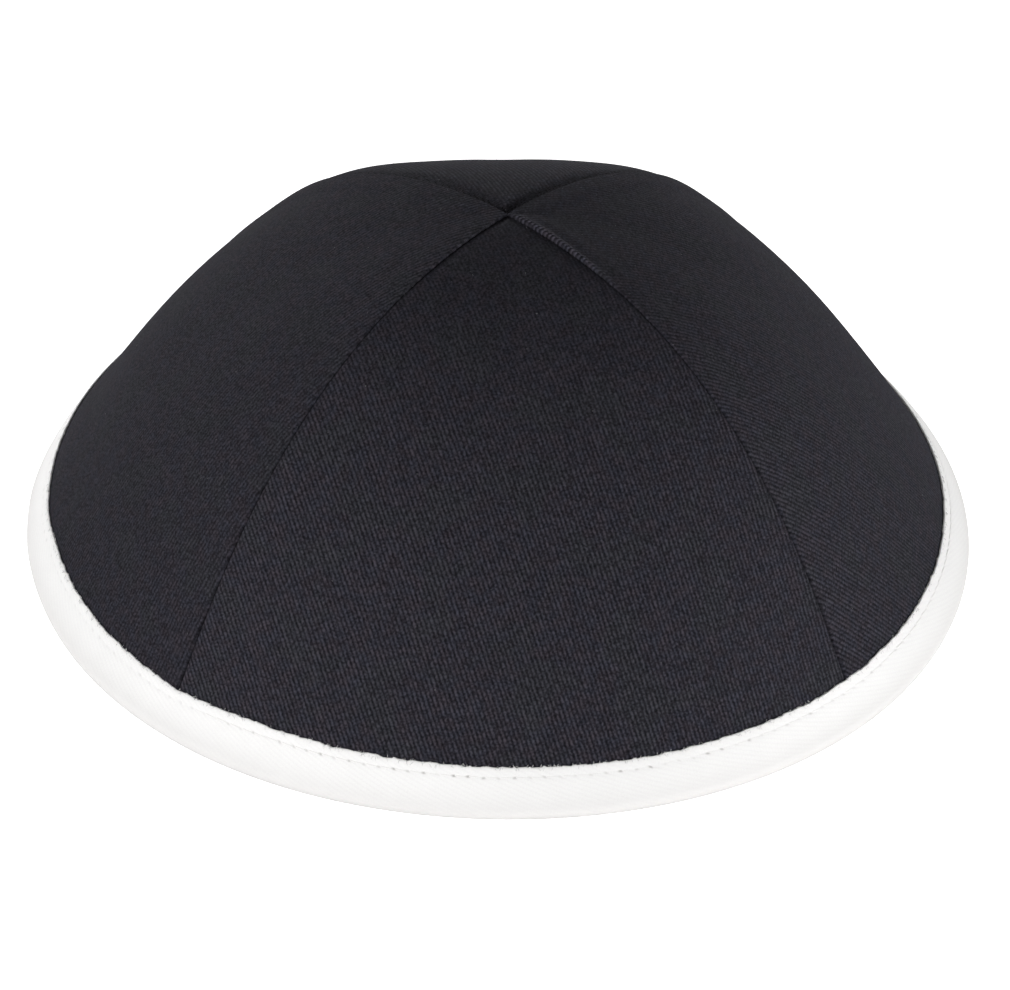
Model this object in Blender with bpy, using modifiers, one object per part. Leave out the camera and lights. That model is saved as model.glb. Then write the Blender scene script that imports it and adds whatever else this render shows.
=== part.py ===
# Four-panel skullcap of black twill, its rim bound with white tape, resting on that rim.
# Metres, +Z up, the front panel towards -Y. The origin is the middle of the rim, on the
# surface that the cap rests on.

import math
from collections import namedtuple

import bmesh
import bpy
from mathutils import Vector

# Driving dimensions
RIM_DIAMETER = 0.180  # across the outside of the binding, at its fold, before it is out of round
RIM_OVAL = 0.0010  # how far the rim reaches out along its long axis, and in across it
RIM_OVAL_AZIMUTH_DEG = -30.0
SEAM_PUSH = 0.0004  # how far the stiff seams push the rim out, and the slack panels let it in
CROWN_HEIGHT = 0.0690  # from the resting surface to the outer face of the cloth at the apex
CROWN_LEAN = Vector((0.0015, 0.0005, 0.0))  # how far the apex lies off the rim's middle
CROWN_WALL = 0.0012
TAPE_WALL = 0.0010
BINDING_WIDTH = 0.0092  # outer leg of the tape, from the fold up to its sewn edge
BINDING_TURN_IN = 0.0080  # inner leg of the tape
PIECE_GAP = 0.0003  # between any two pieces
SEAM_SINK = 0.0006  # how deep a panel's edge turns down into its seam
SEAM_ROLL = 0.0024  # how wide that turned edge is
REST_FLATTENING = 0.00013  # how much of the fold's round is pressed flat by the cap's weight

# A seam runs from the apex to the rim at each azimuth, counted from +X towards +Y. Each panel
# lies between two of them, and the seams are a little off 90 degrees, as sewn.
Seam = namedtuple("Seam", "place azimuth_deg")
SEAMS = (
    Seam("front_left", -134.6),
    Seam("front_right", -45.3),
    Seam("back_right", 46.0),
    Seam("back_left", 134.0),
)
PANELS = ("front", "right", "back", "left")

# The crown's outline from the apex down to the hem. At each end the curve sets off along its
# slope below the horizontal, and its reach, a share of the hem's radius, is how far it keeps it.
Outline = namedtuple("Outline", "top_slope_deg top_reach foot_slope_deg foot_reach")
MID_PANEL = Outline(0.0, 0.466, 58.0, 0.320)
ON_SEAM = Outline(0.0, 0.702, 52.0, 0.153)
MIDDLE_ROUNDING = 0.20  # a level section's roundness over a panel's middle, as a share of its half

Cloth = namedtuple("Cloth", "slot colour roughness")
TWILL = Cloth("black_twill", (0.021, 0.020, 0.026), 0.85)
TAPE = Cloth("white_tape", (0.86, 0.86, 0.84), 0.90)

# Mesh density
PANEL_ROWS = 15
PANEL_BODY_COLUMNS = 7  # cells from the turned edge to the middle of a panel
ROW_CROWDING = 1.3  # above 1, the rows crowd towards the apex
ROLL_START_SHARE = 0.3  # of the half panel, where that is narrower than the turned edge
ROLL_INNER_COLUMN = 0.4  # the turned edge's own column, as a share of its width
BINDING_COLUMNS = 72
BINDING_LEG_ROWS = 4
FOLD_INNER_ROWS = 2  # of the tape's fold, inside the strip that it rests on
FOLD_OUTER_ROWS = 4
OUTLINE_SAMPLES = 80
DIRECTION_STEP = 0.002  # of an outline, over which the cloth's direction is taken
MERGE_DISTANCE = 0.00001

# Sizes that follow from the ones above
HALF_PANEL = math.pi / len(SEAMS)
PANEL_SHIFT = PIECE_GAP / 2 / math.sin(HALF_PANEL)  # each panel moves out, which opens the seams
FOLD_RADIUS = CROWN_WALL / 2 + PANEL_SHIFT + PIECE_GAP + TAPE_WALL
HEM_MEAN_RADIUS = RIM_DIAMETER / 2 - FOLD_RADIUS
HEM_HEIGHT = FOLD_RADIUS - REST_FLATTENING


def hem_radius(azimuth, across):
    """The radius of the middle of the cloth's wall at the hem, which isn't quite round."""
    oval = RIM_OVAL * math.cos(2 * (azimuth - math.radians(RIM_OVAL_AZIMUTH_DEG)))
    return HEM_MEAN_RADIUS + oval - SEAM_PUSH * math.cos(math.pi * across)


def curve_point(outline, along, hem):
    """(radius, height) on the cloth's outer face, along from 0 at the apex to 1 at the hem."""
    top, foot = math.radians(outline.top_slope_deg), math.radians(outline.foot_slope_deg)
    start = Vector((0.0, CROWN_HEIGHT))
    end = Vector((hem, HEM_HEIGHT))
    end += Vector((math.sin(foot), math.cos(foot))) * CROWN_WALL / 2
    leave = start + Vector((math.cos(top), -math.sin(top))) * outline.top_reach * hem
    arrive = end - Vector((math.cos(foot), -math.sin(foot))) * outline.foot_reach * hem
    back = 1 - along
    return (
        start * back**3
        + leave * 3 * back**2 * along
        + arrive * 3 * back * along**2
        + end * along**3
    )


def seam_share(across):
    """How much of the seam's outline a point takes: 0 in a panel's middle, 1 on its seams."""
    edge = MIDDLE_ROUNDING
    return (math.hypot(across, edge) - edge) / (math.hypot(1.0, edge) - edge)


def panel_azimuths(index):
    """The azimuths of panel index's two seams, the second the larger one."""
    first = math.radians(SEAMS[index].azimuth_deg)
    second = math.radians(SEAMS[(index + 1) % len(SEAMS)].azimuth_deg)
    return first, second if second > first else second + 2 * math.pi


def across_at(azimuth):
    """Where an azimuth lies in its panel, from -1 at one seam to 1 at the other."""
    for index in range(len(SEAMS)):
        first, second = panel_azimuths(index)
        turned = (azimuth - first) % (2 * math.pi)
        if turned <= second - first:
            return 2 * turned / (second - first) - 1
    return 1.0


def crown_point(azimuth, across, along):
    """A point of the crown's outer face, before its edges turn down into the seams."""
    hem = hem_radius(azimuth, across)
    middle, seam = curve_point(MID_PANEL, along, hem), curve_point(ON_SEAM, along, hem)
    radius, height = middle.lerp(seam, seam_share(across))
    lean = CROWN_LEAN * (height - HEM_HEIGHT) / (CROWN_HEIGHT - HEM_HEIGHT)
    return Vector((radius * math.cos(azimuth), radius * math.sin(azimuth), height)) + lean


def frame_at(azimuth, across, along):
    """(point, direction down the cloth, direction out of it) on the crown's outer face."""
    low, high = max(along - DIRECTION_STEP, 0.0), min(along + DIRECTION_STEP, 1.0)
    down = crown_point(azimuth, across, high) - crown_point(azimuth, across, low)
    round_rim = Vector((-math.sin(azimuth), math.cos(azimuth), 0.0))
    down.normalize()
    return crown_point(azimuth, across, along), down, down.cross(round_rim).normalized()


def along_at(azimuth, across, rise):
    """The place on an outline that lies rise above the hem, measured along the cloth."""
    before = crown_point(azimuth, across, 1.0)
    climbed = 0.0
    for sample in range(1, OUTLINE_SAMPLES + 1):
        along = 1 - sample / OUTLINE_SAMPLES
        here = crown_point(azimuth, across, along)
        step = (here - before).length
        if climbed + step >= rise:
            return along + (1 - (rise - climbed) / step) / OUTLINE_SAMPLES
        climbed += step
        before = here
    return 0.0


def sheet_object(name, columns, rows, point, wall, material, collection):
    """A cloth wall: a grid whose corners are point(column, row), given its thickness inwards."""
    mesh = bpy.data.meshes.new(name)
    bm = bmesh.new()
    bmesh.ops.create_grid(bm, x_segments=columns, y_segments=rows, size=0.5)
    for vertex in bm.verts:
        column = round((vertex.co.x + 0.5) * columns)
        row = round((vertex.co.y + 0.5) * rows)
        vertex.co = point(column, row)
    bmesh.ops.remove_doubles(bm, verts=bm.verts, dist=MERGE_DISTANCE)
    bm.to_mesh(mesh)
    bm.free()
    mesh.shade_smooth()
    mesh.materials.append(material)
    piece = bpy.data.objects.new(name, mesh)
    collection.objects.link(piece)
    solidify = piece.modifiers.new("wall", "SOLIDIFY")
    solidify.thickness = wall
    solidify.offset = -1.0
    solidify.use_even_offset = True
    return piece


def panel_columns(half_width):
    """Distances from a seam to each column of a half panel that is half_width wide."""
    start = min(SEAM_ROLL, ROLL_START_SHARE * half_width)
    body = half_width - start
    columns = [0.0, ROLL_INNER_COLUMN * start, start]
    columns += [start + body * (k + 1) / PANEL_BODY_COLUMNS for k in range(PANEL_BODY_COLUMNS)]
    return columns


def crown_panel(index, material, collection):
    """One gore of the crown, its long edges turned down into the two seams beside it."""
    first, second = panel_azimuths(index)
    middle, half = (first + second) / 2, (second - first) / 2
    shift = Vector((math.cos(middle), math.sin(middle), 0.0)) * PANEL_SHIFT
    half_columns = len(panel_columns(1.0)) - 1

    def point(column, row):
        along = (1 - row / PANEL_ROWS) ** ROW_CROWDING
        if along == 0.0:
            return Vector((0.0, 0.0, CROWN_HEIGHT - SEAM_SINK)) + CROWN_LEAN + shift
        half_width = curve_point(MID_PANEL, along, HEM_MEAN_RADIUS).x * half
        side = -1 if column < half_columns else 1
        nearest = column if side < 0 else 2 * half_columns - column
        from_seam = panel_columns(half_width)[nearest]
        across = side * (1 - from_seam / half_width)
        place, _, out = frame_at(middle + across * half, across, along)
        turned = max(0.0, 1 - from_seam / SEAM_ROLL)
        return place + shift - out * SEAM_SINK * turned**2

    name = "panel_" + PANELS[index]
    return sheet_object(
        name, 2 * half_columns, PANEL_ROWS, point, CROWN_WALL, material, collection
    )


def rim_binding(material, collection):
    """The tape folded round the hem: up inside the crown, under its edge and up outside it."""
    outer_offset = PANEL_SHIFT + PIECE_GAP + TAPE_WALL
    inner_offset = FOLD_RADIUS * 2 - outer_offset
    outer_rise = BINDING_WIDTH - FOLD_RADIUS
    inner_rise = BINDING_TURN_IN - FOLD_RADIUS
    strip_row = BINDING_LEG_ROWS + FOLD_INNER_ROWS
    fold_end = strip_row + 1 + FOLD_OUTER_ROWS
    rows = fold_end + BINDING_LEG_ROWS

    def leg(azimuth, across, rise, offset):
        place, _, out = frame_at(azimuth, across, along_at(azimuth, across, rise))
        return place + out * offset

    def fold(azimuth, across, row):
        place, down, out = frame_at(azimuth, across, 1.0)
        centre = place - out * CROWN_WALL / 2
        lowest = math.atan2(-down.z, out.z)
        half_strip = math.acos(HEM_HEIGHT / FOLD_RADIUS)
        if row <= strip_row:
            turn = (lowest - half_strip) * (row - BINDING_LEG_ROWS) / FOLD_INNER_ROWS
        else:
            turn = math.pi - (math.pi - lowest - half_strip) * (fold_end - row) / FOLD_OUTER_ROWS
        round_fold = centre + FOLD_RADIUS * (down * math.sin(turn) - out * math.cos(turn))
        if row in (strip_row, strip_row + 1):
            round_fold.z = 0.0
        return round_fold

    def point(column, row):
        azimuth = 2 * math.pi * column / BINDING_COLUMNS
        across = across_at(azimuth)
        if row < BINDING_LEG_ROWS:
            return leg(azimuth, across, inner_rise * (1 - row / BINDING_LEG_ROWS), -inner_offset)
        if row <= fold_end:
            return fold(azimuth, across, row)
        climbed = (row - fold_end) / BINDING_LEG_ROWS
        return leg(azimuth, across, outer_rise * climbed, outer_offset)

    return sheet_object(
        "rim_binding", BINDING_COLUMNS, rows, point, TAPE_WALL, material, collection
    )


def cloth_material(cloth):
    material = bpy.data.materials.new(cloth.slot)
    material.use_nodes = True
    shader = material.node_tree.nodes["Principled BSDF"]
    shader.inputs["Base Color"].default_value = (*cloth.colour, 1.0)
    shader.inputs["Roughness"].default_value = cloth.roughness
    shader.inputs["Metallic"].default_value = 0.0
    return material


def main():
    for old in list(bpy.data.objects):
        bpy.data.objects.remove(old)
    collection = bpy.data.collections.new("skullcap")
    bpy.context.scene.collection.children.link(collection)
    twill = cloth_material(TWILL)
    for index in range(len(PANELS)):
        crown_panel(index, twill, collection)
    rim_binding(cloth_material(TAPE), collection)


main()
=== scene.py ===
import math

import bmesh
import bpy
import numpy as np
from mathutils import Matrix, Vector


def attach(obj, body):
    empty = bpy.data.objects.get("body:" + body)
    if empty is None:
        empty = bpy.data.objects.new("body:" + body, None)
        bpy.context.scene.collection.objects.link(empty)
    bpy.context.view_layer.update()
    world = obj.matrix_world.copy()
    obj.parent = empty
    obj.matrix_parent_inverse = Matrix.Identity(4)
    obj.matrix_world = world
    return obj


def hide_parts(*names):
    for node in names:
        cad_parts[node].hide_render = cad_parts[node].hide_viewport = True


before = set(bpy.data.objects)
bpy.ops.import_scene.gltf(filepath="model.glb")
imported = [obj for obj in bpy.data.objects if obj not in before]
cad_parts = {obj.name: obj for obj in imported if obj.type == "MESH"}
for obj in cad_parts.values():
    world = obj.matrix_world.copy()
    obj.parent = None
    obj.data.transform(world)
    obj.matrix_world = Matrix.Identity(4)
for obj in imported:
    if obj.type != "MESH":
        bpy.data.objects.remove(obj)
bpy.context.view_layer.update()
mm = 0.001
print("frame loaded:", sorted(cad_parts))


# The crown's outer face, which every other piece is laid out from.
crown = {
    "height": 0.0690,  # from the table to the cloth's outer face at the top
    "leanX": 0.0015,  # how far the top sits off the middle of the rim
    "leanY": 0.0005,
    "hemRadius": 0.08789,  # to the middle of the cloth's wall
    "hemHeight": 0.00198,
    "ovalReach": 0.0010,  # the rim reaches out this much along ovalAngle, and in across it
    "ovalAngle": -30.0,
    "seamPush": 0.0004,  # the stiff seams push the rim out, the slack panels let it in
    "clothWall": 0.0012,
    "middleLine": {"reachAtTop": 0.466, "footSlope": 58.0, "reachAtFoot": 0.320},
    "seamLine": {"reachAtTop": 0.702, "footSlope": 52.0, "reachAtFoot": 0.153},
    "middleRounding": 0.20,  # how round a level section is over a panel's middle
}

seamAngles = [-134.6, -45.3, 46.0, 134.0]

# Where the slack cloth stands proud of that plain form or sinks below it: azimuth, how far down
# from 0 to 1, how far it spreads both ways, and mm.
swells = [
    (134.0, 0.46, 17, 0.10, -0.40),
    (160.0, 0.64, 15, 0.08, 0.12),
    (172.0, 0.80, 15, 0.07, -0.35),
    (46.0, 0.40, 15, 0.09, -0.10),
    (20.0, 0.62, 17, 0.10, 0.25),
    (92.0, 0.30, 26, 0.12, 0.45),
    (107.0, 0.28, 10, 0.08, -0.22),
    (127.0, 0.31, 10, 0.08, 0.40),
    (52.0, 0.30, 10, 0.08, 0.35),
]


def outline(line, along, hem):
    # radius and height down one line of the crown, along from 0 at the top to 1 at the hem
    slope = math.radians(line["footSlope"])
    endRadius = hem + math.sin(slope) * crown["clothWall"] / 2
    endHeight = crown["hemHeight"] + math.cos(slope) * crown["clothWall"] / 2
    arriveRadius = endRadius - math.cos(slope) * line["reachAtFoot"] * hem
    arriveHeight = endHeight + math.sin(slope) * line["reachAtFoot"] * hem
    back = 1 - along
    leave, arrive = 3 * back**2 * along, 3 * back * along**2
    radius = leave * line["reachAtTop"] * hem + arrive * arriveRadius + along**3 * endRadius
    height = (back**3 + leave) * crown["height"] + arrive * arriveHeight + along**3 * endHeight
    return radius, height


def hemRadius(azimuth, across):
    ovalTurn = azimuth - math.radians(crown["ovalAngle"])
    oval = crown["ovalReach"] * np.cos(2 * ovalTurn)
    return crown["hemRadius"] + oval - crown["seamPush"] * np.cos(math.pi * across)


def crownPoint(azimuth, across, along):
    # azimuth in radians, across from -1 to 1 between a panel's two seams
    hem = hemRadius(azimuth, across)
    midRadius, midHeight = outline(crown["middleLine"], along, hem)
    seamRadius, seamHeight = outline(crown["seamLine"], along, hem)
    corner = crown["middleRounding"]
    share = (np.hypot(across, corner) - corner) / (math.hypot(1, corner) - corner)
    radius = midRadius + (seamRadius - midRadius) * share
    height = midHeight + (seamHeight - midHeight) * share
    leaning = (height - crown["hemHeight"]) / (crown["height"] - crown["hemHeight"])
    x = radius * np.cos(azimuth) + crown["leanX"] * leaning
    y = radius * np.sin(azimuth) + crown["leanY"] * leaning
    return np.stack([x, y, height], axis=-1)


def unit(vectors):
    return vectors / np.linalg.norm(vectors, axis=-1, keepdims=True)


def outOfCloth(azimuth, across, along):
    # out of the cloth, within the upright plane of that azimuth
    step = 0.003
    along = np.clip(along, step, 1)
    above, below = crownPoint(azimuth, across, along - step), crownPoint(azimuth, across, along + step)
    level = np.stack([-np.sin(azimuth), np.cos(azimuth), 0 * azimuth], axis=-1)
    return unit(np.cross(unit(below - above), level))


def squareToCloth(azimuth, across, along, halfPanel):
    # out of the cloth, square to it where a panel's level section isn't round
    step = 0.01
    along = np.clip(along, 0.03, 1)
    down = crownPoint(azimuth, across, along + step) - crownPoint(azimuth, across, along - step)
    turned = crownPoint(azimuth + halfPanel * step, across + step, along)
    turned = turned - crownPoint(azimuth - halfPanel * step, across - step, along)
    return unit(np.cross(down, turned))


def acrossOf(azimuth):
    # where an azimuth lies in its panel
    seams = np.radians(seamAngles + [seamAngles[0] + 360])
    wrapped = (azimuth - seams[0]) % (2 * math.pi) + seams[0]
    panel = np.clip(np.searchsorted(seams, wrapped, side="right") - 1, 0, 3)
    return 2 * (wrapped - seams[panel]) / (seams[panel + 1] - seams[panel]) - 1


def easeStep(low, high, value):
    share = np.clip((value - low) / (high - low), 0, 1)
    return share * share * (3 - 2 * share)


def riseTable(azimuth, across, lowest):
    # along values from the hem upwards, and how far up the cloth each is, in mm, for every azimuth
    alongs = np.linspace(1, lowest, 90)
    points = crownPoint(azimuth[None, :], across[None, :], alongs[:, None] + 0 * azimuth[None, :])
    steps = np.linalg.norm(np.diff(points, axis=0), axis=-1) / mm
    rises = np.concatenate([np.zeros((1, len(azimuth))), np.cumsum(steps, axis=0)])
    return alongs, rises


def swellHere(azimuth, along):
    # how far the cloth swells out, in mm
    total = 0 * azimuth
    for middle, downTo, spread, downSpread, amount in swells:
        aside = (np.degrees(azimuth) - middle + 180) % 360 - 180
        total = total + amount * np.exp(-((aside / spread) ** 2) - ((along - downTo) / downSpread) ** 2)
    return total


def softWaves(points, reach, seed):
    # a smooth wavering from -1 to 1 over points, with waves about reach long
    dice = np.random.default_rng(seed)
    total = np.zeros(points.shape[:-1])
    for _ in range(9):
        heading = unit(dice.normal(size=3))
        length = reach * dice.uniform(0.7, 1.6)
        total += np.sin(points @ heading * 2 * math.pi / length + dice.uniform(0, 6.283))
    return total / 4.5


def startMesh():
    bm = bmesh.new()
    bm.loops.layers.uv.new("cloth")
    bm.verts.layers.float.new("mark")
    bm.verts.layers.float.new("nap")
    return bm


def addGrid(bm, points, clothMap, marks=None, napAndShadeValues=None):
    # lays points[row, column] out as a grid of faces. clothMap holds cloth coordinates in mm,
    # and marks and nap values are numbers for each point that its material reads, partly painted light.
    rows, columns = points.shape[0] - 1, points.shape[1] - 1
    uvLayer = bm.loops.layers.uv["cloth"]
    markLayer = bm.verts.layers.float["mark"]
    napAndShadeLayer = bm.verts.layers.float["nap"]
    made = bmesh.ops.create_grid(bm, x_segments=columns, y_segments=rows, size=0.5)["verts"]
    places = {}
    for vert in made:
        spot = (round((vert.co.y + 0.5) * rows), round((vert.co.x + 0.5) * columns))
        vert.co = points[spot]
        places[vert] = clothMap[spot]
        if marks is not None:
            vert[markLayer] = marks[spot]
        if napAndShadeValues is not None:
            vert[napAndShadeLayer] = napAndShadeValues[spot]
    for face in {face for vert in made for face in vert.link_faces}:
        for loop in face.loops:
            loop[uvLayer].uv = places[loop.vert]


def addObject(name, data):
    made = bpy.data.objects.new(name, data)
    bpy.context.scene.collection.objects.link(made)
    return made


def addMesh(bm, name, material):
    mesh = bpy.data.meshes.new(name)
    bm.to_mesh(mesh)
    bm.free()
    mesh.materials.append(material)
    return addObject(name, mesh)


def finishPiece(bm, name, material, nodes=(), merge=2e-6):
    bmesh.ops.remove_doubles(bm, verts=bm.verts, dist=merge)
    bmesh.ops.recalc_face_normals(bm, faces=bm.faces)
    piece = addMesh(bm, name, material)
    piece.data.shade_smooth()
    if nodes:
        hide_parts(*nodes)
    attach(piece, "root")
    print("made", name, "with", len(piece.data.polygons), "faces")
    return piece


def feed(tree, socket, value):
    # a socket takes a link, anything else is set as its value
    if isinstance(value, bpy.types.NodeSocket):
        tree.links.new(value, socket)
    else:
        socket.default_value = value


def addNode(tree, kind, feeds=None, **settings):
    # feeds gives what goes into the node's sockets, by name or number
    node = tree.nodes.new(kind)
    count = len(tree.nodes)
    node.location = (count % 9 * 190, -(count // 9) * 260)
    for name, value in settings.items():
        setattr(node, name, value)
    for socket, value in (feeds or {}).items():
        feed(tree, node.inputs[socket], value)
    return node


def maths(tree, operation, *values):
    return addNode(tree, "ShaderNodeMath", dict(enumerate(values)), operation=operation).outputs[0]


def remap(tree, value, fromLow, fromHigh, toLow, toHigh):
    feeds = dict(enumerate((value, fromLow, fromHigh, toLow, toHigh)))
    return addNode(tree, "ShaderNodeMapRange", feeds, clamp=True).outputs[0]


def mixColours(tree, factor, first, second, blend="MIX"):
    # first and second are sockets or plain colours
    first, second = ((*c, 1) if isinstance(c, tuple) else c for c in (first, second))
    feeds = {"Factor": factor, 6: first, 7: second}
    return addNode(tree, "ShaderNodeMix", feeds, data_type="RGBA", blend_type=blend).outputs[2]


def scaleColour(tree, colour, factor):
    return addNode(tree, "ShaderNodeVectorMath", {0: colour, "Scale": factor}, operation="SCALE").outputs[0]


def readLayer(tree, name):
    # the number that a mesh carries at each vertex
    return addNode(tree, "ShaderNodeAttribute", attribute_name=name).outputs["Fac"]


def newGroup(name, inputs, outputs):
    # inputs give each socket's name and value, where None is a vector; outputs are plain numbers
    tree = bpy.data.node_groups.new(name, "ShaderNodeTree")
    for label, value in inputs.items():
        kind = "NodeSocketVector" if value is None else "NodeSocketFloat"
        socket = tree.interface.new_socket(name=label, in_out="INPUT", socket_type=kind)
        if value is not None:
            socket.default_value = value
    for label in outputs:
        tree.interface.new_socket(name=label, in_out="OUTPUT", socket_type="NodeSocketFloat")
    given = addNode(tree, "NodeGroupInput")
    return tree, given.outputs, addNode(tree, "NodeGroupOutput").inputs


def placeGroup(tree, group, **values):
    node = addNode(tree, "ShaderNodeGroup", node_tree=group)
    for socket in node.inputs:
        key = socket.name.replace(" ", "")
        key = key[0].lower() + key[1:]
        if key in values:
            feed(tree, socket, values[key])
    return node.outputs


def makeTwillGroup():
    # Raised wales of a twill. x of Cloth runs across them and y along them, in mm.
    inputs = {
        "Cloth": None,
        "Wale Pitch": 0.78,
        "Wale Lean": 0.75,  # 1 is even, less is steeper on the side that x starts from
        "Float Length": 0.62,  # of the short stretches of yarn that make a wale up
        "Float Slant": 0.6,
        "Wander": 0.2,  # how far a wale strays from straight, in mm
    }
    tree, given, result = newGroup("twillWales", inputs, ["Height", "Groove", "Float Tone"])
    cloth = given["Cloth"]
    split = addNode(tree, "ShaderNodeSeparateXYZ", {0: cloth}).outputs
    drift = addNode(tree, "ShaderNodeTexNoise", {"Vector": cloth, "Scale": 0.12, "Detail": 3.0})
    stray = maths(tree, "MULTIPLY", maths(tree, "SUBTRACT", drift.outputs[0], 0.5), given["Wander"])
    wale = maths(tree, "DIVIDE", maths(tree, "ADD", split["X"], stray), given["Wale Pitch"])
    waleNumber = maths(tree, "FLOOR", wale)
    within = maths(tree, "FRACT", wale)
    leaned = maths(tree, "POWER", within, given["Wale Lean"])
    ridge = maths(tree, "SINE", maths(tree, "MULTIPLY", leaned, math.pi))
    # each wale's floats begin at a place of their own
    start = addNode(tree, "ShaderNodeTexWhiteNoise", {"W": waleNumber}, noise_dimensions="1D")
    along = maths(tree, "DIVIDE", split["Y"], given["Float Length"])
    along = maths(tree, "ADD", start.outputs["Value"], along)
    along = maths(tree, "MULTIPLY_ADD", within, given["Float Slant"], along)
    swell = maths(tree, "SINE", maths(tree, "MULTIPLY", maths(tree, "FRACT", along), math.pi))
    relief = maths(tree, "MULTIPLY_ADD", swell, 0.45, 0.55)
    tree.links.new(maths(tree, "MULTIPLY", ridge, relief), result["Height"])
    groove = maths(tree, "SUBTRACT", 1.0, maths(tree, "POWER", ridge, 2.2))
    tree.links.new(groove, result["Groove"])
    # each float has a tone of its own
    spot = addNode(tree, "ShaderNodeCombineXYZ", {0: waleNumber, 1: maths(tree, "FLOOR", along)}).outputs[0]
    dice = addNode(tree, "ShaderNodeTexWhiteNoise", {"Vector": spot}, noise_dimensions="2D")
    tree.links.new(dice.outputs["Value"], result["Float Tone"])
    return tree


def makeMottleGroup():
    # Uneven dye or soil in soft patches, fine fuzz, and scattered specks of lint. Cloth is in mm.
    inputs = {
        "Cloth": None,
        "Patch Size": 9.0,
        "Tint Size": 2.6,
        "Fuzz Size": 0.3,
        "Speck Spacing": 3.0,
        "Speck Share": 0.1,
    }
    tree, given, result = newGroup("clothMottle", inputs, ["Patches", "Tint", "Fuzz", "Specks"])
    # each noise's size, detail and shift, so that no two line up
    noises = {
        "Patches": ("Patch Size", 3.0, 0.0),
        "Tint": ("Tint Size", 1.0, 31.0),
        "Fuzz": ("Fuzz Size", 1.0, 57.0),
    }
    for label, (size, detail, shift) in noises.items():
        feeds = {0: given["Cloth"], 1: (shift, shift, shift)}
        moved = addNode(tree, "ShaderNodeVectorMath", feeds, operation="ADD").outputs[0]
        feeds = {"Vector": moved, "Scale": maths(tree, "DIVIDE", 1.0, given[size]), "Detail": detail}
        tree.links.new(addNode(tree, "ShaderNodeTexNoise", feeds).outputs[0], result[label])
    spacing = maths(tree, "DIVIDE", 1.0, given["Speck Spacing"])
    cells = addNode(tree, "ShaderNodeTexVoronoi", {"Vector": given["Cloth"], "Scale": spacing}).outputs
    # whether a cell has a speck, how large it is and how pale
    chance, size, strength = addNode(tree, "ShaderNodeSeparateColor", {0: cells["Color"]}).outputs
    chosen = maths(tree, "LESS_THAN", chance, given["Speck Share"])
    near = maths(tree, "LESS_THAN", cells["Distance"], maths(tree, "MULTIPLY_ADD", size, 0.03, 0.02))
    shown = maths(tree, "MULTIPLY", chosen, maths(tree, "MULTIPLY_ADD", strength, 0.7, 0.3))
    tree.links.new(maths(tree, "MULTIPLY", shown, near), result["Specks"])
    return tree


twillWales = makeTwillGroup()
clothMottle = makeMottleGroup()


def newMaterial(name, constants):
    # constants are the shader's values that are the same all over the surface
    material = bpy.data.materials.new(name)
    material.use_nodes = True
    shader = material.node_tree.nodes["Principled BSDF"]
    for label, value in constants.items():
        shader.inputs[label].default_value = value
    return material, material.node_tree, shader


def newCloth(name, roughness, sheen, sheenRoughness, sheenTint=(1, 1, 1)):
    constants = {
        "Roughness": roughness, "Specular IOR Level": 0.05, "Sheen Weight": sheen,
        "Sheen Roughness": sheenRoughness, "Sheen Tint": (*sheenTint, 1),
    }
    material, tree, shader = newMaterial(name, constants)
    return material, tree, shader, addNode(tree, "ShaderNodeUVMap", uv_map="cloth").outputs[0]


def addBump(tree, shader, height, depth):
    bump = addNode(tree, "ShaderNodeBump", {"Distance": depth, "Height": height})
    tree.links.new(bump.outputs[0], shader.inputs["Normal"])


blackTwillLook = {
    # wale is the colour on the crests; groove is painted shade, the darker colour down between the wales
    "wale": (0.0350, 0.0335, 0.0410),
    "groove": (0.0135, 0.0130, 0.0162),
    "blueTint": (0.94, 0.98, 1.07),
    "warmTint": (1.07, 0.98, 1.00),
    "greenTint": (0.97, 1.03, 0.99),
    "lint": (0.11, 0.11, 0.12),
    "floatTone": (0.86, 1.14),  # how much one float's tone differs from the next
    "grainTone": (0.48, 1.52),
    "nappedGroove": 0.88,  # the even tone between wale and groove where the wales are hidden: the cloth's nap, and painted shade that darkens a panel as the light falls on it
    "fuzzSize": 0.42,
    "waleDepth": 0.00010,
    "fuzzDepth": 0.35,  # as a share of the wales' depth
    # how much painted highlight lightens the wales' crests on a rolled edge and how much deeper they are
    # there, or how much painted shade darkens them in a crease
    "rolledTone": 2.3,
    "rolledDepth": 1.2,
    "roughness": 0.9,
    "sheen": 0.03,
    "sheenTint": (0.75, 0.75, 0.85),
}


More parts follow.
